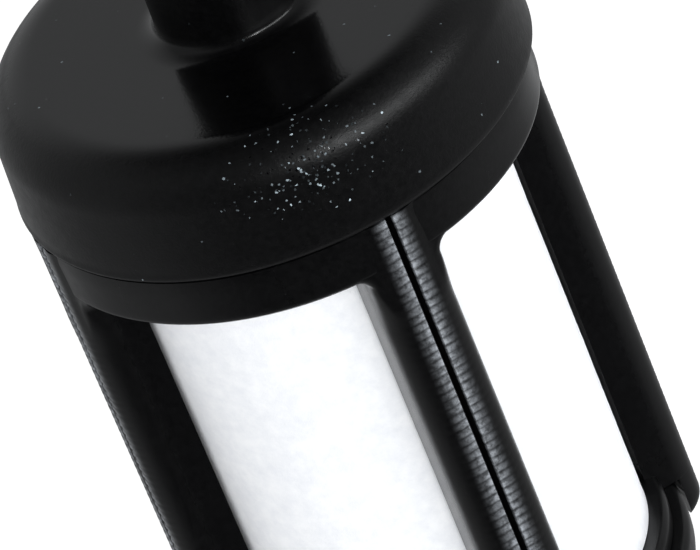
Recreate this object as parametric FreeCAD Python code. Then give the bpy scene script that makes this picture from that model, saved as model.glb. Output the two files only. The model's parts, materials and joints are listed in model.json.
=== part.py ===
"""In-tank fuel filter (pick-up body) for a small two-stroke engine.

A moulded cage of four ribs holds a white felt sleeve. A domed cap with a barbed hose nipple closes
the top, and a plug with a steel sinker in it closes the bottom. Fuel passes the felt, a fine screen
and a slotted core, and leaves up the middle through the nipple.

Frame: millimetres, +Z up through the nipple, origin at the centre of the bottom face. The four
windows face +X, +Y, -X and -Y, and the ribs stand between them.
"""

import os

import FreeCAD
import Part

# ---- driving dimensions (mm) ---------------------------------------------------------------

# Levels along the axis
JOINT_Z = 1.9            # cage ring stands on the bottom cap's flange
LEDGE_Z = 2.65           # felt stands on the cage's bottom ring
WINDOW_TOP_Z = 21.2      # underside of the cage's collar
SEAM_Z = 23.1            # top cap sits on the cage's collar
CAP_TOP_Z = 27.5         # flat top of the cap
TIP_Z = 37.5             # end of the hose nipple

# Cage
RIB_COUNT = 4
RIB_R = 9.1              # outer face of the ribs
RIB_WIDTH = 2.66
RIB_EDGE_ROUND = 0.8     # long outer edges of a rib
RIB_END_Z = 0.35         # the ribs run down past the joint, outside the bottom cap
RIB_END_ROUND = 0.6
GROOVE_WIDTH = 0.3       # V groove down the middle of each rib
GROOVE_DEPTH = 0.3
COLLAR_R = 9.08
COLLAR_EDGE_ROUND = 0.3
RING_R = 7.65            # bottom ring, between the ribs
RING_EDGE_ROUND = 0.25
RING_BORE_R = 6.0
SOCKET_R = 7.9           # inside of the collar, where the cap's skirt goes
LIP_THICKNESS = 0.4      # floor of the socket, round the felt

# Filter pack
FELT_R = 7.0
FELT_BORE_R = 5.2
CORE_R = 5.0
CORE_BORE_R = 4.2
PACK_TOP_Z = 22.0        # top end of the felt, the screen and the core
SEAL_THICKNESS = 0.6
SLOT_COLUMNS = 6         # slots of the core: columns round it and rows along it
SLOT_ROWS = 5
SLOT_WIDTH = 2.4
SLOT_HEIGHT = 2.6

# Top cap
CAP_R = 9.25
CAP_SHOULDER_ROUND = 1.8
CAP_RIM_ROUND = 0.3
SKIRT_FIT = 0.05         # radial room of the skirt in its socket
PLENUM_R = 4.2
PLENUM_TOP_Z = 25.6

# Hose nipple, one piece with the top cap
NIPPLE_R = 2.5           # plain stretch above the barb, and the neck's narrow end
NECK_FOOT_R = 2.65       # the neck narrows from the cap up to the barb
NIPPLE_BORE_R = 1.5
NECK_FOOT_ROUND = 0.4
BARB_R = 2.85
BARB_Z = 32.4            # the sharp edge of the barb, facing the cap
BARB_HEIGHT = 1.0
TIP_CHAMFER = 0.5
TIP_CHAMFER_HEIGHT = 0.8

# Bottom cap and sinker
FLANGE_R = 8.2
FLANGE_TOP_ROUND = 0.25
FLANGE_FOOT_ROUND = 1.2
FOOT_DISH_R = 5.4
FOOT_DISH_DEPTH = 0.3
POCKET_FLOOR_Z = 0.9
SINKER_R = 5.0
SINKER_THICKNESS = 1.1

GAP = 0.05               # assembly clearance between moulded pieces

# ---- helpers --------------------------------------------------------------------------------


def vec(x, y, z):
    """Point or direction."""
    return FreeCAD.Vector(x, y, z)


def turned(outline):
    """Solid of revolution about Z from a closed outline of (radius, z) points."""
    points = [vec(r, 0, z) for r, z in outline]
    wire = Part.makePolygon(points + points[:1])
    return Part.Face(wire).revolve(vec(0, 0, 0), vec(0, 0, 1), 360)


def tube(outer_r, inner_r, low_z, high_z):
    """Plain tube about Z."""
    return turned([(inner_r, low_z), (outer_r, low_z), (outer_r, high_z), (inner_r, high_z)])


def disc(radius, low_z, high_z):
    """Plain disc about Z."""
    return Part.makeCylinder(radius, high_z - low_z, vec(0, 0, low_z))


def is_circle_at(edge, radius, z):
    """True for a full circle of this radius at this level."""
    curve = edge.Curve
    if not isinstance(curve, Part.Circle):
        return False
    return abs(curve.Radius - radius) < 1e-6 and abs(curve.Center.z - z) < 1e-6


def lies_at(edge, z):
    """True for an edge that lies wholly at this level."""
    box = edge.BoundBox
    return abs(box.ZMin - z) < 1e-6 and abs(box.ZMax - z) < 1e-6


def lies_on_outer_face(edge):
    """True for an edge on the outer face of the rib that is modelled along +X."""
    return edge.BoundBox.XMin > RIB_R - 1e-6


def round_circle(solid, radius, z, fillet):
    """Fillet the circular edge of this radius at this level."""
    edges = [edge for edge in solid.Edges if is_circle_at(edge, radius, z)]
    return solid.makeFillet(fillet, edges)


def round_about_axis(solid, count, first_angle):
    """List of copies of a solid, evenly spaced about Z."""
    copies = []
    for index in range(count):
        copy = solid.copy()
        copy.rotate(vec(0, 0, 0), vec(0, 0, 1), first_angle + index * 360.0 / count)
        copies.append(copy)
    return copies


def save(node, shape):
    """Write one node's STEP file."""
    if not shape.isValid():
        raise ValueError(node + " is not a valid solid")
    shape.exportStep("parts/" + node + ".step")
    print(node, "volume mm3", round(shape.Volume, 1), "solids", len(shape.Solids))


# ---- pieces ---------------------------------------------------------------------------------


def make_rib():
    """One rib along +X: rounded outer edges and end, and a V groove down its outer face."""
    inner_x = FELT_R - 1.0
    half = RIB_WIDTH / 2
    rib = Part.makeBox(RIB_R - inner_x, RIB_WIDTH, SEAM_Z - RIB_END_Z, vec(inner_x, -half, RIB_END_Z))
    long_edges = [edge for edge in rib.Edges if lies_on_outer_face(edge) and edge.BoundBox.ZLength > 1]
    rib = rib.makeFillet(RIB_EDGE_ROUND, long_edges)
    end_edges = [edge for edge in rib.Edges if lies_on_outer_face(edge) and lies_at(edge, RIB_END_Z)]
    rib = rib.makeFillet(RIB_END_ROUND, end_edges)
    wedge = Part.makePolygon([
        vec(RIB_R - GROOVE_DEPTH, 0, 0),
        vec(RIB_R + GROOVE_DEPTH, -GROOVE_WIDTH, 0),
        vec(RIB_R + GROOVE_DEPTH, GROOVE_WIDTH, 0),
        vec(RIB_R - GROOVE_DEPTH, 0, 0),
    ])
    groove = Part.Face(wedge).extrude(vec(0, 0, SEAM_Z))
    return rib.cut(groove)


def make_cage():
    """Collar, bottom ring and four ribs, moulded in one."""
    collar = turned([
        (FELT_R + GAP, WINDOW_TOP_Z),
        (COLLAR_R, WINDOW_TOP_Z),
        (COLLAR_R, SEAM_Z),
        (SOCKET_R, SEAM_Z),
        (SOCKET_R, WINDOW_TOP_Z + LIP_THICKNESS),
        (FELT_R + GAP, WINDOW_TOP_Z + LIP_THICKNESS),
    ])
    collar = round_circle(collar, COLLAR_R, WINDOW_TOP_Z, COLLAR_EDGE_ROUND)
    ring = tube(RING_R, RING_BORE_R, JOINT_Z, LEDGE_Z)
    ring = round_circle(ring, RING_R, LEDGE_Z, RING_EDGE_ROUND)

    rib = make_rib()
    felt_room = disc(FELT_R + GAP, LEDGE_Z, WINDOW_TOP_Z + LIP_THICKNESS)
    socket_room = disc(SOCKET_R, WINDOW_TOP_Z + LIP_THICKNESS, SEAM_Z)
    ring_room = disc(RING_BORE_R, JOINT_Z, LEDGE_Z)
    flange_room = disc(FLANGE_R + GAP, RIB_END_Z, JOINT_Z)
    rib = rib.cut(felt_room.multiFuse([socket_room, ring_room, flange_room]))
    ribs = round_about_axis(rib, RIB_COUNT, 180.0 / RIB_COUNT)
    return collar.multiFuse([ring] + ribs).removeSplitter()


def make_top_cap():
    """Domed cap with its skirt, and the barbed hose nipple in one piece with it."""
    skirt_r = SOCKET_R - SKIRT_FIT
    skirt_foot_z = WINDOW_TOP_Z + LIP_THICKNESS + GAP
    seat_z = PACK_TOP_Z + SEAL_THICKNESS
    body = turned([
        (PLENUM_R, seat_z),
        (FELT_R + GAP, seat_z),
        (FELT_R + GAP, skirt_foot_z),
        (skirt_r, skirt_foot_z),
        (skirt_r, SEAM_Z),
        (CAP_R, SEAM_Z),
        (CAP_R, CAP_TOP_Z),
        (0, CAP_TOP_Z),
        (0, PLENUM_TOP_Z),
        (PLENUM_R, PLENUM_TOP_Z),
    ])
    body = round_circle(body, CAP_R, CAP_TOP_Z, CAP_SHOULDER_ROUND)
    body = round_circle(body, CAP_R, SEAM_Z, CAP_RIM_ROUND)
    nipple = turned([
        (0, PLENUM_TOP_Z),
        (NECK_FOOT_R, PLENUM_TOP_Z),
        (NECK_FOOT_R, CAP_TOP_Z),
        (NIPPLE_R, BARB_Z),
        (BARB_R, BARB_Z),
        (NIPPLE_R, BARB_Z + BARB_HEIGHT),
        (NIPPLE_R, TIP_Z - TIP_CHAMFER_HEIGHT),
        (NIPPLE_R - TIP_CHAMFER, TIP_Z),
        (0, TIP_Z),
    ])
    bore = disc(NIPPLE_BORE_R, PLENUM_TOP_Z - 1, TIP_Z)
    cap = body.fuse(nipple).removeSplitter()
    cap = round_circle(cap, NECK_FOOT_R, CAP_TOP_Z, NECK_FOOT_ROUND)
    return cap.cut(bore)


def make_bottom_cap():
    """Plug under the cage: flange, spigot in the cage's ring, pocket for the sinker."""
    spigot_top_z = LEDGE_Z - SEAL_THICKNESS
    body = turned([
        (0, FOOT_DISH_DEPTH),
        (FOOT_DISH_R, FOOT_DISH_DEPTH),
        (FOOT_DISH_R, 0),
        (FLANGE_R, 0),
        (FLANGE_R, JOINT_Z),
        (RING_BORE_R - GAP, JOINT_Z),
        (RING_BORE_R - GAP, spigot_top_z),
        (SINKER_R + GAP, spigot_top_z),
        (SINKER_R + GAP, POCKET_FLOOR_Z),
        (0, POCKET_FLOOR_Z),
    ])
    body = round_circle(body, FLANGE_R, 0, FLANGE_FOOT_ROUND)
    return round_circle(body, FLANGE_R, JOINT_Z, FLANGE_TOP_ROUND)


def make_support_core():
    """Slotted tube that keeps the felt from folding in when the engine draws fuel."""
    core = tube(CORE_R, CORE_BORE_R, LEDGE_Z, PACK_TOP_Z)
    pitch = (PACK_TOP_Z - LEDGE_Z) / SLOT_ROWS
    slots = []
    for row in range(SLOT_ROWS):
        low_z = LEDGE_Z + (row + 0.5) * pitch - SLOT_HEIGHT / 2
        slot = Part.makeBox(CORE_R + 1, SLOT_WIDTH, SLOT_HEIGHT, vec(0, -SLOT_WIDTH / 2, low_z))
        slots += round_about_axis(slot, SLOT_COLUMNS, 0)
    return core.cut(slots)


def make_pieces():
    """Every piece by its node name, from the top down and from the outside in."""
    return {
        "top_cap": make_top_cap(),
        "cage": make_cage(),
        "bottom_cap": make_bottom_cap(),
        "filter_sleeve": tube(FELT_R, FELT_BORE_R, LEDGE_Z, PACK_TOP_Z),
        "fine_screen": tube(FELT_BORE_R, CORE_R, LEDGE_Z, PACK_TOP_Z),
        "support_core": make_support_core(),
        "upper_seal": tube(FELT_R, CORE_BORE_R, PACK_TOP_Z, PACK_TOP_Z + SEAL_THICKNESS),
        "lower_seal": disc(RING_BORE_R - GAP, LEDGE_Z - SEAL_THICKNESS, LEDGE_Z),
        "sinker_weight": disc(SINKER_R, POCKET_FLOOR_Z, POCKET_FLOOR_Z + SINKER_THICKNESS),
    }


os.makedirs("parts", exist_ok=True)
for name, piece in make_pieces().items():
    save(name, piece)
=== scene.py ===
"""Looks of the in-tank fuel filter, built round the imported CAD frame.

Meshes are worked out in millimetres and stored in metres. Every radius and level that the frame can
give is read from it, and the rest are the sizes of small moulded details.
"""
import json
import math

import bpy
from mathutils import Matrix, Vector, noise


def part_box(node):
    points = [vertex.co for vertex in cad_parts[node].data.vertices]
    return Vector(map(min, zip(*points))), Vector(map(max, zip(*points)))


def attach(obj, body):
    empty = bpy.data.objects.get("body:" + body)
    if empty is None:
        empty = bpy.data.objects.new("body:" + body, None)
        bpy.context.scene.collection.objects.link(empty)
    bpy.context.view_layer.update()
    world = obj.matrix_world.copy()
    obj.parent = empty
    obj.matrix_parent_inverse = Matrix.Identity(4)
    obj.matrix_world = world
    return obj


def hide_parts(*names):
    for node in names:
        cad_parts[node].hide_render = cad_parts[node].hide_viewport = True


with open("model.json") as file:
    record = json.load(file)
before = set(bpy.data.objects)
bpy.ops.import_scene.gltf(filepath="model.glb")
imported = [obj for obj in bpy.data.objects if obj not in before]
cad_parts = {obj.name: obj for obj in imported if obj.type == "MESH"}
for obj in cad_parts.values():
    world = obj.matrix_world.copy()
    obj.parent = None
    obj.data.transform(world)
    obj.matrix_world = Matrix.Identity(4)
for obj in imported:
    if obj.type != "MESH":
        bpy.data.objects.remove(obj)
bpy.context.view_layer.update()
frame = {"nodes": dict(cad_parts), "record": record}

MM = 0.001


# ---- sizes from the frame, in millimetres -------------------------------------------------------

def extent(node):
    """(radius, lowest z, highest z) of a round CAD node, in millimetres."""
    low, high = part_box(node)
    return high.x / MM, low.z / MM, high.z / MM


def mount(name):
    """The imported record's mount of this name."""
    return next(m for m in frame["record"]["mounts"] if m["name"] == name)


CAP_R, SKIRT_FOOT_Z, TIP_Z = extent("top_cap")
_, _, SEAM_Z = extent("cage")
FOOT_R, _, SPIGOT_TOP_Z = extent("bottom_cap")
FELT_R, LEDGE_Z, FELT_TOP_Z = extent("filter_sleeve")
SEAL_R, _, SEAT_Z = extent("upper_seal")
SCREEN_R, _, _ = extent("fine_screen")
SINKER_R, SINKER_Z, _ = extent("sinker_weight")
LOWER_SEAL_R, _, _ = extent("lower_seal")
NIPPLE_R = mount("hose_nipple")["dims"]["r_mm"]

# ---- sizes of the visible details, in millimetres ------------------------------------------------

CLEARANCE = 0.05            # between pieces that sit in one another

RIB_R = 9.13
RIB_COUNT = 4
RIB_HALF_WIDTH = 1.36
RIB_ROOT_R = 7.3            # the ribs' inner side within the collar and the ring
RIB_CROWN = 1.05            # radius of the rounded long edges
RIB_CROWN_TOP = 0.65        # and just below the collar
CROWN_BLEND = 2.5           # height over which one radius turns into the other
CROWN_STEPS = 20            # points on the rounded edge
FACE_STEPS = 8              # points on half of the outer face
RIB_END_Z = 0.2
RIB_END_ROUND = 0.6
GROOVE_HALF_WIDTH = 0.15
GROOVE_DEPTH = 0.36
GROOVE_OVERCUT = 0.4        # how far the cutting wedge reaches out of the rib

SCALLOP_PITCH = 0.33        # fine cross cuts on both lips of the groove
SCALLOP_DEPTH = 0.05
LIP_FULL = 0.25             # the cuts are fully deep up to this far from the groove's middle
LIP_EDGE = 0.5              # and shallow from here on,
LIP_FADE = 0.55             # fading out over this much more
CROWN_CUT = 0.3             # share of the depth that is left on the crown

COLLAR_TOP_R = 9.05
COLLAR_FOOT_R = 9.03
COLLAR_EDGE_ROUND = 0.3
SOCKET_R = 7.9              # inside of the collar, round the cap's skirt
SOCKET_FLOOR = 0.4          # thickness of the socket's floor
WINDOW_TOP_Z = 21.12
CORNER_ROUND = 0.5          # between the ribs and the collar's underside
JOINT_Z = 1.9
RING_R = 7.65
RING_BORE_R = 6.0
RING_EDGE_ROUND = 0.25

CAP_OFFSET = 0.17           # the cap sits this far off the cage's axis
CAP_OFFSET_ANGLE = 30.6     # towards this side, in degrees
CAP_TOP_Z = 27.5
CAP_RIM_ROUND = 0.28
SHOULDER_REACH = 1.9        # the domed shoulder, inwards from the side
SHOULDER_DROP = 1.75        # and down from the flat top
CAP_DRAFT = 0.12            # the cap narrows this much up to its shoulder
NECK_FOOT_R = 2.65          # the nipple narrows from here up to its barb
FOOT_FILLET_RISE = 0.45     # concave rounding between the flat top and the neck
FOOT_FILLET_REACH = 0.8
BARB_Z = 32.4
BARB_HEIGHT = 1.0
BARB_R = 2.85
TIP_CHAMFER = 0.55
TIP_CHAMFER_HEIGHT = 0.8
BORE_R = 1.5
PLENUM_TOP_Z = 25.6
PLENUM_R = 4.2

DISH_R = 5.4                # shallow dish in the foot's underside
DISH_Z = 0.3
FLANGE_FOOT_ROUND = 1.2
FLANGE_TOP_ROUND = 0.25
SEAM_GAP = 0.02             # dark line left between two pieces that meet

SCUFF_GLINT_SQUEEZE = (0.8, 0.8, 1.6)     # the cap's scuffed patch, where grains are painted as glints, is wide and low
GLINT_TONE = (0.5, 0.6, 0.66)       # painted glint: pale tone added to a chosen grain in that patch
LIP_HIGHLIGHT_TONE = (0.36, 0.385, 0.42)    # painted highlight: grey added beside the groove of each rib


# ---- mesh helpers ---------------------------------------------------------------------------------

def arc(centre_r, centre_z, radius, start, end, steps=8):
    """Points on an arc in the (radius, z) plane, from one angle to another in degrees."""
    points = []
    for i in range(steps + 1):
        angle = math.radians(start + (end - start) * i / steps)
        points.append((centre_r + radius * math.cos(angle), centre_z + radius * math.sin(angle)))
    return points


def ellipse(centre_r, centre_z, reach, drop, steps=20):
    """Points on the upper right quarter of an ellipse in the (radius, z) plane, from its side to its top."""
    points = []
    for i in range(steps + 1):
        angle = math.pi / 2 * i / steps
        points.append((centre_r + reach * math.cos(angle), centre_z + drop * math.sin(angle)))
    return points


def run(start, end, steps):
    """Evenly spaced points between two points, without the last."""
    return [tuple(a + (b - a) * i / steps for a, b in zip(start, end)) for i in range(steps)]


def make_object(name, points, faces, sharp=35):
    """Mesh object from points in millimetres, smooth but for edges sharper than an angle."""
    mesh = bpy.data.meshes.new(name)
    mesh.from_pydata([tuple(c * MM for c in p) for p in points], [], faces)
    mesh.validate()
    mesh.update()
    mesh.shade_smooth()
    mesh.set_sharp_from_angle(angle=math.radians(sharp))
    obj = bpy.data.objects.new(name, mesh)
    bpy.context.scene.collection.objects.link(obj)
    return obj


def ring_grid(rings, around):
    """Faces of a closed torus-like grid of rings, each with the same number of points."""
    faces = []
    for j in range(rings):
        k = (j + 1) % rings
        for i in range(around):
            n = (i + 1) % around
            faces.append((j * around + i, j * around + n, k * around + n, k * around + i))
    return faces


def lathe(name, outline, around=240, shape=None):
    """Solid turned about Z from a closed outline of (radius, z), anticlockwise with r to the right.

    shape(r, z, angle) may give a changed radius and level for small unevenness.
    """
    points = []
    for r, z in outline:
        for i in range(around):
            angle = 2 * math.pi * i / around
            rr, zz = shape(r, z, angle) if shape else (r, z)
            points.append((rr * math.cos(angle), rr * math.sin(angle), zz))
    return make_object(name, points, ring_grid(len(outline), around))


def smooth_step(value, low, high):
    """0 below a range, 1 above it, and an S-shaped rise between."""
    share = max(0.0, min(1.0, (value - low) / (high - low)))
    return share * share * (3 - 2 * share)


def sagitta(radius, reach):
    """How far a circle falls back from its tangent at some distance along it."""
    return radius - math.sqrt(radius ** 2 - reach ** 2)


# ---- pieces ---------------------------------------------------------------------------------------

def wobble(r, z, angle):
    """Slow unevenness of a moulded skin: a few hundredths of a millimetre of sink."""
    p = Vector((math.cos(angle) * r, math.sin(angle) * r, z))
    return r - 0.02 * (0.5 + 0.5 * noise.noise(p * 0.35)), z


def cap_skin(r, z, angle):
    """The cap's unevenness, and its shift off the cage's axis above the seam."""
    r, z = wobble(r, z, angle)
    share = max(0.0, min(1.0, (z - SEAM_Z) / 0.3))
    return r + share * CAP_OFFSET * math.cos(angle - math.radians(CAP_OFFSET_ANGLE)), z


def make_top_cap():
    """Domed cap and the barbed nipple, one moulding."""
    z0 = SEAM_Z + SEAM_GAP
    skirt_r = SOCKET_R - CLEARANCE
    seat_r = SEAL_R + CLEARANCE
    outline = [(BORE_R, PLENUM_TOP_Z), (PLENUM_R, PLENUM_TOP_Z), (PLENUM_R, SEAT_Z)]
    outline += [(seat_r, SEAT_Z), (seat_r, SKIRT_FOOT_Z), (skirt_r, SKIRT_FOOT_Z), (skirt_r, z0)]
    outline += run((8.3, z0), (CAP_R - CAP_RIM_ROUND, z0), 3)
    outline += arc(CAP_R - CAP_RIM_ROUND, z0 + CAP_RIM_ROUND, CAP_RIM_ROUND, -90, 0, 5)
    shoulder_z = CAP_TOP_Z - SHOULDER_DROP
    top_r = CAP_R - CAP_DRAFT
    flat_r = top_r - SHOULDER_REACH
    fillet_r = NECK_FOOT_R + FOOT_FILLET_REACH
    outline += run((CAP_R, z0 + CAP_RIM_ROUND + 0.2), (top_r, shoulder_z), 6)
    outline += ellipse(flat_r, shoulder_z, SHOULDER_REACH, SHOULDER_DROP)
    outline += run((flat_r - 0.3, CAP_TOP_Z), (fillet_r + 0.2, CAP_TOP_Z), 10)
    for x, y in arc(0, 0, 1, 270, 184, 12):
        outline.append((fillet_r + FOOT_FILLET_REACH * x, CAP_TOP_Z + FOOT_FILLET_RISE * (1 + y)))
    outline += run((NECK_FOOT_R - 0.02, CAP_TOP_Z + FOOT_FILLET_RISE + 0.1), (NIPPLE_R, BARB_Z - 0.1), 6)
    outline += [(NIPPLE_R, BARB_Z), (BARB_R - 0.04, BARB_Z), (BARB_R, BARB_Z + 0.05)]
    outline += run((BARB_R, BARB_Z + 0.12), (NIPPLE_R, BARB_Z + BARB_HEIGHT), 4)
    outline += run((NIPPLE_R, BARB_Z + BARB_HEIGHT + 0.1), (NIPPLE_R, TIP_Z - TIP_CHAMFER_HEIGHT), 6)
    outline += [(NIPPLE_R - 0.05, TIP_Z - TIP_CHAMFER_HEIGHT + 0.1)]
    outline += [(NIPPLE_R - TIP_CHAMFER + 0.1, TIP_Z - 0.08), (NIPPLE_R - TIP_CHAMFER, TIP_Z)]
    outline += [(BORE_R + 0.1, TIP_Z), (BORE_R, TIP_Z - 0.1)]
    outline += run((BORE_R, TIP_Z - 0.4), (BORE_R, PLENUM_TOP_Z), 6)
    return lathe("filter_cap", outline, 288, cap_skin)


def rib_section(z):
    """Outline of one rib across its length at a level, as (radial, tangential) points.

    Every level gives the same number of points. Where the crown starts inside the rib's inner side, only
    the part of it that stands proud is drawn.
    """
    inner = FELT_R + CLEARANCE
    if z < JOINT_Z:
        inner = FOOT_R + CLEARANCE
    elif z < LEDGE_Z or z > WINDOW_TOP_Z:
        inner = RIB_ROOT_R
    outer = RIB_R
    rise = z - RIB_END_Z
    if rise < RIB_END_ROUND:
        outer -= sagitta(RIB_END_ROUND, RIB_END_ROUND - rise)
    half = RIB_HALF_WIDTH
    above = min(CORNER_ROUND, z - (WINDOW_TOP_Z - CORNER_ROUND))
    if above > 0:
        half += sagitta(CORNER_ROUND, above)
    blend = smooth_step(z, WINDOW_TOP_Z - CROWN_BLEND, WINDOW_TOP_Z - CORNER_ROUND)
    crown = RIB_CROWN + (RIB_CROWN_TOP - RIB_CROWN) * blend

    hidden = max(0.0, inner - outer + crown) / crown
    start = math.degrees(math.asin(hidden))
    foot = half - crown + crown * math.cos(math.radians(start))
    side = [(inner, 0.0), (inner, foot * 0.5), (inner, foot)]
    if hidden:
        turns = [start + (90 - start) * (i + 1) / CROWN_STEPS for i in range(CROWN_STEPS)]
    else:
        turns = [90 * i / (CROWN_STEPS - 1) for i in range(CROWN_STEPS)]
    rounded = []
    for turn in turns:
        angle = math.radians(turn)
        rounded.append((outer - crown + crown * math.sin(angle), half - crown + crown * math.cos(angle)))
    if hidden:
        side.append(((inner + rounded[0][0]) / 2, (foot + rounded[0][1]) / 2))
    else:
        side.append(((inner + outer - crown) / 2, half))
    side += rounded
    side += [(outer, (half - crown) * (1 - i / FACE_STEPS)) for i in range(1, FACE_STEPS + 1)]

    cut = scallop(z)
    side = [(r - cut * lip_weight(r, y), y) for r, y in side]
    if blend > 0:
        side = [(r - blend * max(0.0, r - collar_limit(y, z)), y) for r, y in side]
    return side + [(r, -y) for r, y in reversed(side[:-1]) if y > 0]


def collar_limit(y, z):
    """Radial reach at which a rib's skin dips under the collar's, beside it and round the window's corner."""
    limit = RIB_R - (RIB_R - COLLAR_FOOT_R + 0.03) * smooth_step(y, 0.45, 1.15)
    aside = RIB_HALF_WIDTH + CORNER_ROUND - y
    above = max(0.0, z - (WINDOW_TOP_Z - CORNER_ROUND))
    depth = math.hypot(max(0.0, aside), above) - CORNER_ROUND
    if depth < COLLAR_EDGE_ROUND:
        limit -= sagitta(COLLAR_EDGE_ROUND, COLLAR_EDGE_ROUND - max(0.0, depth))
    return math.sqrt(limit ** 2 - y * y)


def scallop(z):
    """Depth of the cross cuts at a level: rounded crests with narrow valleys between them."""
    phase = math.pi * z / SCALLOP_PITCH + 0.8 * noise.noise(Vector((0, 0, z * 0.9)))
    return SCALLOP_DEPTH * (1 - abs(math.sin(phase))) ** 1.3


def lip_weight(r, y):
    """How deep the cross cuts go at a point: full beside the groove, shallow over the crown."""
    if r < RIB_R - 0.9:
        return 0.0
    away = abs(y)
    if away < LIP_EDGE:
        return 1.0 - (1.0 - CROWN_CUT) * max(0.0, away - LIP_FULL) / (LIP_EDGE - LIP_FULL)
    return CROWN_CUT * max(0.0, 1.0 - (away - LIP_EDGE) / LIP_FADE)


def rib_point(index, r, y, z):
    """Point of a rib from its radial and tangential place and its level."""
    angle = math.pi / RIB_COUNT + index * 2 * math.pi / RIB_COUNT
    out = Vector((math.cos(angle), math.sin(angle), 0))
    across = Vector((-math.sin(angle), math.cos(angle), 0))
    return tuple(out * r + across * y + Vector((0, 0, z)))


def make_groove(index):
    """Wedge that is cut out of a rib's outer face and of the collar over it."""
    half = GROOVE_HALF_WIDTH * (GROOVE_DEPTH + GROOVE_OVERCUT) / GROOVE_DEPTH
    far_r = RIB_R + GROOVE_OVERCUT
    points = []
    for z in (RIB_END_Z - 1, SEAM_Z + 1):
        for r, y in ((RIB_R - GROOVE_DEPTH, 0), (far_r, half), (far_r, -half)):
            points.append(rib_point(index, r, y, z))
    faces = [(0, 1, 2), (3, 5, 4), (0, 3, 4, 1), (1, 4, 5, 2), (2, 5, 3, 0)]
    return make_object("groove_%d" % index, points, faces)


def rib_levels():
    """Levels of a rib's sections: close at its rounded end, at every step and round the window's corner."""
    levels = [RIB_END_Z + 0.9 * (1 - math.cos(math.pi / 2 * i / 10)) for i in range(10)]
    step = SCALLOP_PITCH / 6
    z = levels[-1] + step
    while z < SEAM_Z - step / 2:
        levels.append(z)
        z += step
    levels.append(SEAM_Z - 0.01)
    for level in (JOINT_Z, LEDGE_Z, WINDOW_TOP_Z):
        levels += [level - 0.002, level + 0.002]
    levels += [WINDOW_TOP_Z - CORNER_ROUND * (1 - math.cos(math.pi / 2 * i / 8)) for i in range(1, 8)]
    levels += [WINDOW_TOP_Z + COLLAR_EDGE_ROUND * i / 6 for i in range(1, 7)]
    return sorted(levels)


def make_rib(index):
    """One rib, swept from its rounded lower end up to the seam."""
    levels = rib_levels()
    points = []
    for z in levels:
        section = rib_section(z)
        points += [rib_point(index, r, y, z) for r, y in section]
    around = len(section)
    top = (len(levels) - 1) * around
    faces = ring_grid(len(levels), around)[:top]
    faces.append(tuple(reversed(range(around))))
    faces.append(tuple(range(top, top + around)))
    return make_object("rib_%d" % index, points, faces)


def bake_modifiers(obj):
    """Replaces a mesh by what its modifiers make of it."""
    depsgraph = bpy.context.evaluated_depsgraph_get()
    mesh = bpy.data.meshes.new_from_object(obj.evaluated_get(depsgraph))
    old = obj.data
    obj.modifiers.clear()
    obj.data = mesh
    bpy.data.meshes.remove(old)


def combine(obj, other, operation):
    """Joins another solid to an object, or cuts it out, and removes the other."""
    modifier = obj.modifiers.new("combine", "BOOLEAN")
    modifier.operation = operation
    modifier.solver = "MANIFOLD"
    modifier.object = other
    bake_modifiers(obj)
    bpy.data.objects.remove(other)


def make_cage():
    """Collar, bottom ring and ribs, joined into one skin."""
    edge = COLLAR_EDGE_ROUND
    lip_r = FELT_R + CLEARANCE
    floor_z = WINDOW_TOP_Z + SOCKET_FLOOR
    top_z = SEAM_Z - 0.01
    outline = [(lip_r, WINDOW_TOP_Z), (8.0, WINDOW_TOP_Z)]
    outline += arc(COLLAR_FOOT_R - edge, WINDOW_TOP_Z + edge, edge, -90, 0, 8)
    outline += run((COLLAR_FOOT_R, WINDOW_TOP_Z + edge + 0.2), (COLLAR_TOP_R, SEAM_Z - 0.12), 5)
    outline += [(COLLAR_TOP_R - 0.02, SEAM_Z - 0.06), (COLLAR_TOP_R - 0.1, top_z)]
    outline += [(8.2, top_z), (SOCKET_R, top_z), (SOCKET_R, floor_z), (lip_r, floor_z)]
    cage = lathe("filter_cage", outline, 600, wobble)

    outline = [(RING_BORE_R, JOINT_Z), (RING_R - 0.1, JOINT_Z), (RING_R, JOINT_Z + 0.1)]
    outline += arc(RING_R - RING_EDGE_ROUND, LEDGE_Z - RING_EDGE_ROUND, RING_EDGE_ROUND, 0, 90, 8)
    outline += [(6.6, LEDGE_Z), (RING_BORE_R, LEDGE_Z)]
    combine(cage, lathe("cage_ring", outline, 240), "UNION")
    for index in range(RIB_COUNT):
        combine(cage, make_rib(index), "UNION")
    for index in range(RIB_COUNT):
        combine(cage, make_groove(index), "DIFFERENCE")
    cage.data.shade_smooth()
    cage.data.set_sharp_from_angle(angle=math.radians(42))
    return cage


def make_bottom_cap():
    """Plug with its flange, spigot, sinker pocket and dished foot."""
    pocket_r = SINKER_R + CLEARANCE
    top_z = JOINT_Z - SEAM_GAP
    outline = [(pocket_r, SINKER_Z), (0.02, SINKER_Z), (0.02, DISH_Z)]
    outline += run((0.4, DISH_Z), (DISH_R - 0.2, DISH_Z), 5)
    outline += [(DISH_R, DISH_Z - 0.1), (DISH_R, 0.05), (DISH_R + 0.05, 0.0)]
    outline += run((DISH_R + 0.3, 0), (FOOT_R - FLANGE_FOOT_ROUND, 0), 3)
    outline += arc(FOOT_R - FLANGE_FOOT_ROUND, FLANGE_FOOT_ROUND, FLANGE_FOOT_ROUND, -90, 0, 10)
    outline += arc(FOOT_R - FLANGE_TOP_ROUND, top_z - FLANGE_TOP_ROUND, FLANGE_TOP_ROUND, 0, 90, 8)
    outline += [(LOWER_SEAL_R, top_z), (LOWER_SEAL_R, SPIGOT_TOP_Z), (pocket_r, SPIGOT_TOP_Z)]
    return lathe("filter_foot", outline, 240, wobble)


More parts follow.
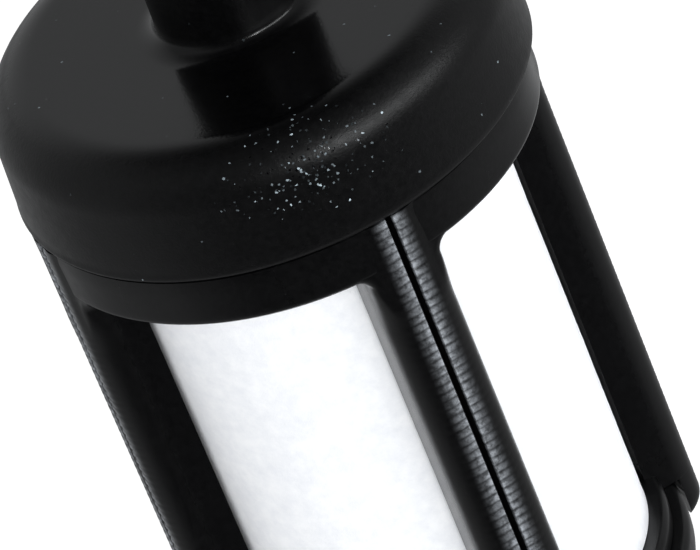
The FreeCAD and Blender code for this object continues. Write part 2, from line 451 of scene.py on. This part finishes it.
def make_sleeve():
    """Felt sleeve with a fibrous skin."""
    outline = [(SCREEN_R, FELT_TOP_Z), (SCREEN_R, LEDGE_Z)]
    outline += [(FELT_R - 0.06, LEDGE_Z + 0.01), (FELT_R - 0.02, LEDGE_Z + 0.06)]
    outline += run((FELT_R, LEDGE_Z + 0.15), (FELT_R, FELT_TOP_Z - 0.05), 130)
    outline += [(FELT_R - 0.05, FELT_TOP_Z)]

    def fibres(r, z, angle):
        if r < FELT_R - 0.01:
            return r, z
        p = Vector((math.cos(angle) * r, math.sin(angle) * r, z))
        slow = noise.noise(p * 0.5)
        fine = noise.noise(p * 4.5)
        return r - 0.03 - 0.015 * slow - 0.012 * fine, z

    return lathe("filter_felt", outline, 320, fibres)


# ---- materials --------------------------------------------------------------------------------------

def new_material(name):
    """Empty node material and its Principled shader."""
    material = bpy.data.materials.new(name)
    material.use_nodes = True
    return material, material.node_tree.nodes["Principled BSDF"]


def add(material, kind, **values):
    """A node with some of its inputs set, by socket name."""
    node = material.node_tree.nodes.new(kind)
    for key, value in values.items():
        node.inputs[key.replace("_", " ")].default_value = value
    return node


def link(material, out_socket, in_socket):
    """Joins two sockets."""
    material.node_tree.links.new(out_socket, in_socket)


def texture(material, kind, **values):
    """A 3-D texture node in object coordinates."""
    node = add(material, kind, **values)
    place = material.node_tree.nodes.get("place") or material.node_tree.nodes.new("ShaderNodeTexCoord")
    place.name = "place"
    link(material, place.outputs["Object"], node.inputs["Vector"])
    return node


def spread(material, socket, low, high, to_low, to_high):
    """Maps a texture's range onto another."""
    node = add(material, "ShaderNodeMapRange", From_Min=low, From_Max=high, To_Min=to_low, To_Max=to_high)
    link(material, socket, node.inputs["Value"])
    return node.outputs["Result"]


def math_node(material, operation, first, second=0.0):
    """Result of a scalar operation on one or two sockets or numbers."""
    node = material.node_tree.nodes.new("ShaderNodeMath")
    node.operation = operation
    for slot, value in enumerate((first, second)):
        if isinstance(value, (int, float)):
            node.inputs[slot].default_value = value
        else:
            link(material, value, node.inputs[slot])
    return node.outputs["Value"]


def vector_node(material, operation, first, second=None, scale=None, result="Vector"):
    """Result of a vector operation on sockets or plain vectors."""
    node = material.node_tree.nodes.new("ShaderNodeVectorMath")
    node.operation = operation
    for slot, value in enumerate((first, second)):
        if value is None:
            continue
        if isinstance(value, tuple):
            node.inputs[slot].default_value = value
        else:
            link(material, value, node.inputs[slot])
    if scale is not None:
        link(material, scale, node.inputs["Scale"])
    return node.outputs[result]


def split_vector(material, socket):
    """X, Y and Z sockets of a vector or colour."""
    node = material.node_tree.nodes.new("ShaderNodeSeparateXYZ")
    link(material, socket, node.inputs["Vector"])
    return node.outputs["X"], node.outputs["Y"], node.outputs["Z"]


def lighten(material, shader, tone, share):
    """Adds a share of a tone to a shader's base colour."""
    plain = shader.inputs["Base Color"].links[0].from_socket
    added = vector_node(material, "SCALE", tone, scale=share)
    link(material, vector_node(material, "ADD", plain, added), shader.inputs["Base Color"])


def black_nylon(name, grain, rough_low, rough_high):
    """Black moulded nylon with a fine grain.

    Returns the material, its shader, the socket its roughness comes from and its bump node.
    """
    material, shader = new_material(name)
    shader.inputs["IOR"].default_value = 1.5
    tone = texture(material, "ShaderNodeTexNoise", Scale=5000, Detail=3, Roughness=0.6)
    ramp = material.node_tree.nodes.new("ShaderNodeValToRGB")
    ramp.color_ramp.elements[0].color = (0.0012, 0.0012, 0.0014, 1)
    ramp.color_ramp.elements[0].position = 0.35
    ramp.color_ramp.elements[1].color = (0.0026, 0.0026, 0.0029, 1)
    ramp.color_ramp.elements[1].position = 0.7
    link(material, tone.outputs["Fac"], ramp.inputs["Fac"])
    link(material, ramp.outputs["Color"], shader.inputs["Base Color"])
    gloss = texture(material, "ShaderNodeTexNoise", Scale=2500, Detail=4, Roughness=0.6)
    rough = spread(material, gloss.outputs["Fac"], 0.3, 0.7, rough_low, rough_high)
    link(material, rough, shader.inputs["Roughness"])
    fine = texture(material, "ShaderNodeTexNoise", Scale=9000, Detail=2, Roughness=0.6)
    bump = add(material, "ShaderNodeBump", Strength=1.0, Distance=grain)
    link(material, fine.outputs["Fac"], bump.inputs["Height"])
    link(material, bump.outputs["Normal"], shader.inputs["Normal"])
    return material, shader, rough, bump


def cap_nylon():
    """The cap's nylon: a polished flat top, a duller neck, and a scuffed patch on the shoulder whose chosen
    grains are painted paler as glints.
    """
    material, shader, rough, bump = black_nylon("cap_nylon", 0.000008, 0.36, 0.44)
    place = material.node_tree.nodes["place"].outputs["Object"]
    _, _, z = split_vector(material, place)

    def by_height(low, high, below, above):
        """A value that changes between two heights above the flat top, in millimetres."""
        return spread(material, z, (CAP_TOP_Z + low) * MM, (CAP_TOP_Z + high) * MM, below, above)

    rough = math_node(material, "MULTIPLY", rough, by_height(-0.3, -0.04, 1.0, 0.34))
    rough = math_node(material, "MULTIPLY", rough, by_height(0.2, 0.5, 1.0, 2.8))
    link(material, by_height(0.4, 0.7, 0.5, 0.25), shader.inputs["Specular IOR Level"])
    link(material, by_height(-0.3, -0.04, 1.0, 0.3), bump.inputs["Strength"])

    offset = vector_node(material, "SUBTRACT", place, tuple(SCUFF_GLINT_CENTRE * MM))
    offset = vector_node(material, "MULTIPLY", offset, SCUFF_GLINT_SQUEEZE)
    away = vector_node(material, "LENGTH", offset, result="Value")
    patch = spread(material, away, 0.5 * MM, 2.8 * MM, 1.0, 0.0)

    # every grain draws a lot, and in the patch more of them are chosen
    grains = texture(material, "ShaderNodeTexVoronoi", Scale=15000)
    lot, strength, _ = split_vector(material, grains.outputs["Color"])
    share = math_node(material, "MULTIPLY", patch, 0.09)
    chosen = math_node(material, "GREATER_THAN", math_node(material, "ADD", lot, share), 0.999)

    # a chosen grain is smoother and tilted at random, and its colour is painted paler as a glint
    scatter = material.node_tree.nodes.new("ShaderNodeTexWhiteNoise")
    link(material, grains.outputs["Position"], scatter.inputs["Vector"])
    tilt = vector_node(material, "SUBTRACT", scatter.outputs["Color"], (0.5, 0.5, 0.5))
    tilt = vector_node(material, "SCALE", tilt, scale=math_node(material, "MULTIPLY", chosen, 0.25))
    normal = vector_node(material, "NORMALIZE", vector_node(material, "ADD", bump.outputs["Normal"], tilt))
    link(material, normal, shader.inputs["Normal"])
    # painted glint: pale tone added to the base colour of each chosen grain
    glint = math_node(material, "MULTIPLY", chosen, math_node(material, "POWER", strength, 3.5))
    lighten(material, shader, GLINT_TONE, glint)
    keep = math_node(material, "SUBTRACT", 1.0, math_node(material, "MULTIPLY", chosen, 0.7))
    link(material, math_node(material, "MULTIPLY", rough, keep), shader.inputs["Roughness"])
    return material


def cage_nylon():
    """The cage's nylon: smoother on the ribs' sides, with a painted grey highlight on the lips beside the
    groove of each rib.
    """
    material, shader, rough, _ = black_nylon("cage_nylon", 0.000003, 0.28, 0.36)
    x, y, z = split_vector(material, material.node_tree.nodes["place"].outputs["Object"])
    sides = [math_node(material, "ABSOLUTE", socket) for socket in (x, y)]

    # radial and tangential place on a rib, and the level, in millimetres
    out = math_node(material, "MULTIPLY", math_node(material, "ADD", *sides), math.sqrt(0.5) / MM)
    across = math_node(material, "MULTIPLY", math_node(material, "SUBTRACT", *sides), math.sqrt(0.5) / MM)
    away = math_node(material, "ABSOLUTE", across)
    level = math_node(material, "MULTIPLY", z, 1 / MM)

    # painted highlight: grey added on the lips beside the groove, striped along the cross cuts and mottled
    near = math_node(material, "POWER", spread(material, away, 0.15, 0.75, 1.0, 0.0), 1.8)
    near = math_node(material, "MULTIPLY", near, spread(material, away, 0.1, GROOVE_HALF_WIDTH, 0.0, 1.0))
    outer = spread(material, out, RIB_R - 0.5, RIB_R - 0.25, 0.0, 1.0)
    wave = math_node(material, "SINE", math_node(material, "MULTIPLY", level, math.pi / SCALLOP_PITCH))
    lines = spread(material, math_node(material, "ABSOLUTE", wave), 0.1, 0.8, 0.35, 1.0)
    speck = texture(material, "ShaderNodeTexNoise", Scale=4500, Detail=3, Roughness=0.7)
    mottle = spread(material, speck.outputs["Fac"], 0.35, 0.65, 0.25, 1.0)
    share = math_node(material, "MULTIPLY", near, math_node(material, "MULTIPLY", outer, mottle))
    lighten(material, shader, LIP_HIGHLIGHT_TONE, math_node(material, "MULTIPLY", share, lines))

    wall = spread(material, out, RIB_R - 1.4, RIB_R - 0.9, 0.4, 1.0)
    wall = math_node(material, "MAXIMUM", wall, spread(material, level, LEDGE_Z, LEDGE_Z + 3, 1.0, 0.4))
    link(material, math_node(material, "MULTIPLY", rough, wall), shader.inputs["Roughness"])
    return material


def felt():
    """White needle felt: matt, with fine crossing fibres."""
    material, shader = new_material("white_felt")
    shader.inputs["Roughness"].default_value = 0.9
    shader.inputs["Specular IOR Level"].default_value = 0.2
    tone = texture(material, "ShaderNodeTexNoise", Scale=1500, Detail=4, Roughness=0.7)
    ramp = material.node_tree.nodes.new("ShaderNodeValToRGB")
    ramp.color_ramp.elements[0].color = (0.84, 0.86, 0.90, 1)
    ramp.color_ramp.elements[0].position = 0.3
    ramp.color_ramp.elements[1].color = (0.93, 0.945, 0.97, 1)
    ramp.color_ramp.elements[1].position = 0.65
    link(material, tone.outputs["Fac"], ramp.inputs["Fac"])
    link(material, ramp.outputs["Color"], shader.inputs["Base Color"])
    fibre = texture(material, "ShaderNodeTexNoise", Scale=7000, Detail=3, Roughness=0.7, Distortion=1.5)
    bump = add(material, "ShaderNodeBump", Strength=0.5, Distance=0.00003)
    link(material, fibre.outputs["Fac"], bump.inputs["Height"])
    link(material, bump.outputs["Normal"], shader.inputs["Normal"])
    return material


def plain_inner(name, dark, light, roughness, metallic=0.0, scale=2500):
    """Material of a hidden inner piece: two close tones and a fine bump."""
    material, shader = new_material(name)
    shader.inputs["Roughness"].default_value = roughness
    shader.inputs["Metallic"].default_value = metallic
    tone = texture(material, "ShaderNodeTexNoise", Scale=scale, Detail=3, Roughness=0.6)
    ramp = material.node_tree.nodes.new("ShaderNodeValToRGB")
    ramp.color_ramp.elements[0].color = dark + (1,)
    ramp.color_ramp.elements[1].color = light + (1,)
    link(material, tone.outputs["Fac"], ramp.inputs["Fac"])
    link(material, ramp.outputs["Color"], shader.inputs["Base Color"])
    bump = add(material, "ShaderNodeBump", Strength=0.4, Distance=0.00002)
    link(material, tone.outputs["Fac"], bump.inputs["Height"])
    link(material, bump.outputs["Normal"], shader.inputs["Normal"])
    return material


def dress(obj, material):
    """Gives a piece one material."""
    obj.data.materials.clear()
    obj.data.materials.append(material)


# ---- camera, light and floor -------------------------------------------------------------------------

VIEW_ELEVATION = 33.6       # degrees above the horizon
NEAR_RIB_OFFSET = 14.37     # the nearest rib stands this far to the right of the view, in degrees
ROLL = 22.62                # the filter leans this far to the left in the view, in degrees
DISTANCE = 270.0            # from the lens to the seam, in millimetres
SEAM_RIGHT = -2.70          # the seam's centre in the view, right of and above the middle, in millimetres
SEAM_ABOVE = 5.512
LENS = 411.4                # on a sensor 36 mm wide
NEAR_RIB_ANGLE = -45.0      # where the nearest rib stands about Z, in degrees
AROUND_GLOW = 0.22          # radiance of the surroundings to the sides and behind
BEHIND_GLOW = 0.22          # and what is added straight behind
DARK_GLOW = 0.03            # in front and overhead

UP = Vector((0, 0, 1))
TOWARDS_CAMERA = math.radians(NEAR_RIB_ANGLE - NEAR_RIB_OFFSET)
# the scuffed patch with painted glints sits on the shoulder where the lamps' highlight falls
SCUFF_GLINT_ANGLE = TOWARDS_CAMERA + math.radians(4)
SCUFF_GLINT_CENTRE = Vector((8.7 * math.cos(SCUFF_GLINT_ANGLE), 8.7 * math.sin(SCUFF_GLINT_ANGLE), SEAM_Z + 3.0))
FRONT = Vector((math.cos(TOWARDS_CAMERA), math.sin(TOWARDS_CAMERA), 0))
RIGHT = UP.cross(FRONT)


def place_camera():
    """Camera at the viewing angle, looking past the seam's centre."""
    data = bpy.data.cameras.new("camera")
    data.lens = LENS
    data.sensor_width = 36.0
    data.clip_start = 0.01
    data.clip_end = 20.0
    camera = bpy.data.objects.new("camera", data)
    bpy.context.scene.collection.objects.link(camera)
    tilt = math.radians(VIEW_ELEVATION)
    back = FRONT * math.cos(tilt) + UP * math.sin(tilt)
    level_up = back.cross(RIGHT)
    roll = math.radians(ROLL)
    right = RIGHT * math.cos(roll) - level_up * math.sin(roll)
    up = RIGHT * math.sin(roll) + level_up * math.cos(roll)
    seam = UP * SEAM_Z
    eye = (seam - right * SEAM_RIGHT - up * SEAM_ABOVE + back * DISTANCE) * MM
    camera.matrix_world = Matrix.Translation(eye) @ Matrix((right, up, back)).transposed().to_4x4()
    bpy.context.scene.camera = camera


def softbox(name, turn, elevation, distance, size, power, tint=(1, 1, 1), glossy=True):
    """Rectangular area light aimed at the filter; turn is to the right of the camera, in degrees."""
    data = bpy.data.lights.new(name, "AREA")
    data.shape = "RECTANGLE"
    data.size, data.size_y = size
    data.energy = power
    data.color = tint
    light = bpy.data.objects.new(name, data)
    bpy.context.scene.collection.objects.link(light)
    a = math.radians(turn)
    e = math.radians(elevation)
    level = FRONT * math.cos(a) + RIGHT * math.sin(a)
    out = level * math.cos(e) + UP * math.sin(e)
    aim = UP * 0.016
    light.location = aim + out * distance
    light.rotation_mode = "QUATERNION"
    light.rotation_quaternion = out.to_track_quat("Z", "Y")
    light.visible_camera = False
    light.visible_glossy = glossy


def make_world():
    """Soft surroundings: pale behind and to the sides, dark in front and overhead."""
    world = bpy.data.worlds.new("studio")
    world.use_nodes = True
    bpy.context.scene.world = world
    background = world.node_tree.nodes["Background"]
    background.inputs["Color"].default_value = (0.97, 0.985, 1, 1)
    direction = world.node_tree.nodes.new("ShaderNodeTexCoord").outputs["Generated"]
    facing = world.node_tree.nodes.new("ShaderNodeVectorMath")
    facing.operation = "DOT_PRODUCT"
    facing.inputs[1].default_value = tuple(FRONT)
    link(world, direction, facing.inputs[0])
    height = world.node_tree.nodes.new("ShaderNodeSeparateXYZ")
    link(world, direction, height.inputs["Vector"])
    around = spread(world, facing.outputs["Value"], 0.78, 0.2, 0.0, AROUND_GLOW)
    behind = spread(world, facing.outputs["Value"], -0.4, -0.8, 0.0, BEHIND_GLOW)
    below_top = spread(world, height.outputs["Z"], 0.93, 0.7, 0.0, 1.0)
    glow = math_node(world, "MULTIPLY", math_node(world, "ADD", around, behind), below_top)
    link(world, math_node(world, "ADD", glow, DARK_GLOW), background.inputs["Strength"])


def make_stage():
    """Pale floor."""
    bpy.ops.mesh.primitive_plane_add(size=8)
    floor = bpy.context.object
    floor.name = "floor"
    material, shader = new_material("pale_floor")
    shader.inputs["Base Color"].default_value = (0.6, 0.6, 0.6, 1)
    shader.inputs["Roughness"].default_value = 0.9
    shader.inputs["Emission Color"].default_value = (1, 1, 1, 1)
    shader.inputs["Emission Strength"].default_value = 0.85
    dress(floor, material)
    floor.visible_glossy = False
    bpy.context.scene.view_settings.view_transform = "Standard"


# ---- assembly -------------------------------------------------------------------------------------------

VISIBLE = (
    (make_top_cap, "top_cap", "cap_plastic", cap_nylon()),
    (make_cage, "cage", "cage_plastic", cage_nylon()),
    (make_bottom_cap, "bottom_cap", "foot_plastic", black_nylon("foot_nylon", 0.000003, 0.3, 0.38)[0]),
    (make_sleeve, "filter_sleeve", "felt", felt()),
)
for make, node, slot, material in VISIBLE:
    piece = make()
    dress(piece, material)
    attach(piece, "root")
    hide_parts(node)

screen = plain_inner("nylon_screen", (0.72, 0.73, 0.72), (0.86, 0.87, 0.86), 0.6)
dress(frame["nodes"]["fine_screen"], screen)
core = plain_inner("natural_nylon", (0.66, 0.65, 0.60), (0.78, 0.77, 0.73), 0.45)
dress(frame["nodes"]["support_core"], core)
rubber = plain_inner("black_rubber", (0.012, 0.012, 0.012), (0.03, 0.03, 0.03), 0.7)
dress(frame["nodes"]["upper_seal"], rubber)
dress(frame["nodes"]["lower_seal"], rubber)
steel = plain_inner("zinc_steel", (0.48, 0.49, 0.5), (0.62, 0.63, 0.64), 0.35, 1.0)
dress(frame["nodes"]["sinker_weight"], steel)

place_camera()
make_stage()
make_world()
softbox("strip", 45, 24, 0.6, (0.6, 0.1), 0.9, (0.97, 0.99, 1.0))
softbox("glint", 16, 27, 0.6, (0.06, 0.06), 0.35, (0.97, 0.99, 1.0))
softbox("fill_front", 0, 20, 0.8, (0.6, 0.6), 3.1, glossy=False)
softbox("fill_right", 80, 25, 0.8, (0.6, 0.6), 1.8, glossy=False)
